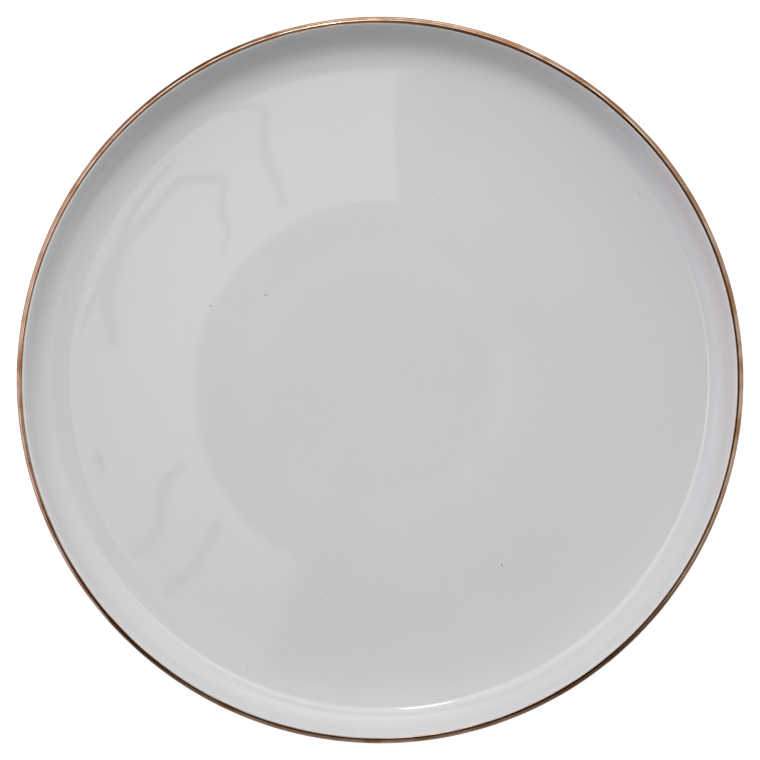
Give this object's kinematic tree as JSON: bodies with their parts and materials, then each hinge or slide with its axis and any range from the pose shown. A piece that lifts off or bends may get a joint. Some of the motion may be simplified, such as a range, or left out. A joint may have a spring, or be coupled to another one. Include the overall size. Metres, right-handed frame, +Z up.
{
  "type": "dinner plate",
  "caption": "Flat round glazed porcelain dinner plate with a level well, a low upright wall, a foot ring and a thin gold line over the rounded lip.",
  "frame": {"origin": "on the table, under the centre of the plate, in the plane of the foot ring's face", "axes": "+Z up along the axis of the round, out of the well; X and Y lie in the table and are equal, because the plate is round"},
  "size_m": [0.27, 0.27, 0.024],
  "materials": {
    "fired_clay": "fired white clay, bare and ground smooth on the foot face",
    "white_glaze": "glossy clear glaze on white porcelain, slightly cool",
    "white_glaze_under": "glossy clear glaze, a little thinner and less even than above",
    "gold_line": "bright fired gold, hand banded over the glaze"
  },
  "bodies": {
    "root": {"porcelain_body": "fired_clay", "glaze_coat": "white_glaze", "foot_recess_glaze": "white_glaze_under", "gold_rim_line": "gold_line"}
  },
  "joints": []
}
